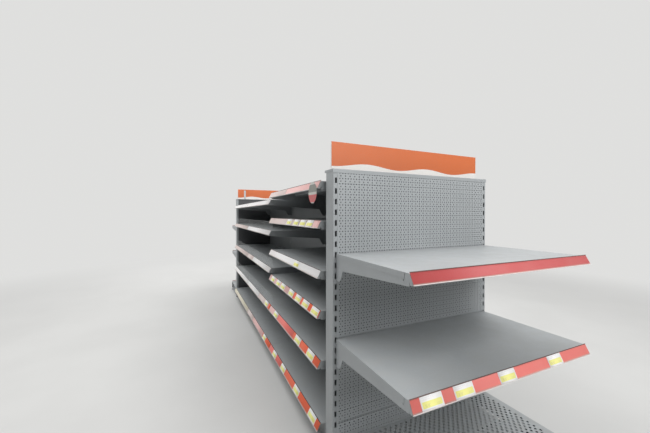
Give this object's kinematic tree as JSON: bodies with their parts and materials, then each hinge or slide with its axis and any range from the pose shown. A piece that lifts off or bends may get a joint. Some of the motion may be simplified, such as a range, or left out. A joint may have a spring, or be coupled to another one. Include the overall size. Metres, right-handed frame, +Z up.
{
  "type": "double-sided shop shelving run",
  "caption": "Free-standing two-sided steel shelving run for a shop, with sloped ticket strips, a perforated display bay across each end and a header board over it.",
  "frame": {"origin": "on the floor under the middle of the run", "axes": "+Z up; Y along the run, with the near end bay at -Y; X across it, with the left side shelves at -X"},
  "size_m": [1.0992, 4.2872, 1.541],
  "materials": {
    "grey_paint": "satin powder coat",
    "dark_steel": "satin powder coat",
    "strip_plastic": "gloss",
    "header_print": "matt print",
    "zinc_steel": "zinc plated",
    "black_plastic": "moulded",
    "clear_plastic": "clear acrylic"
  },
  "bodies": {
    "root": {"near_uprights": "grey_paint", "near_back_panels": "grey_paint", "near_top_cap": "grey_paint", "near_upper_shelf": "grey_paint", "near_lower_shelf": "grey_paint", "near_shelf_brackets": "grey_paint", "near_base_deck": "grey_paint", "near_base_legs": "grey_paint", "near_plinth": "grey_paint", "near_cross_rails": "dark_steel", "near_ticket_strips": "strip_plastic", "near_header_board": "header_print", "near_header_holders": "zinc_steel", "far_uprights": "grey_paint", "far_back_panels": "grey_paint", "far_top_cap": "grey_paint", "far_upper_shelf": "grey_paint", "far_lower_shelf": "grey_paint", "far_shelf_brackets": "grey_paint", "far_base_deck": "grey_paint", "far_base_legs": "grey_paint", "far_plinth": "grey_paint", "far_cross_rails": "dark_steel", "far_ticket_strips": "strip_plastic", "far_header_board": "header_print", "far_header_holders": "zinc_steel", "run_posts": "grey_paint", "run_cross_rails": "dark_steel", "run_back_panels": "grey_paint", "run_top_cap": "grey_paint", "run_base_legs": "grey_paint", "end_couplers": "zinc_steel", "levelling_feet": "black_plastic", "left_shelves": "grey_paint", "left_shelf_brackets": "grey_paint", "left_ticket_strips": "strip_plastic", "left_base_decks": "grey_paint", "left_plinths": "grey_paint", "left_risers": "clear_plastic", "right_shelves": "grey_paint", "right_shelf_brackets": "grey_paint", "right_ticket_strips": "strip_plastic", "right_base_decks": "grey_paint", "right_plinths": "grey_paint", "right_risers": "clear_plastic"}
  },
  "joints": []
}
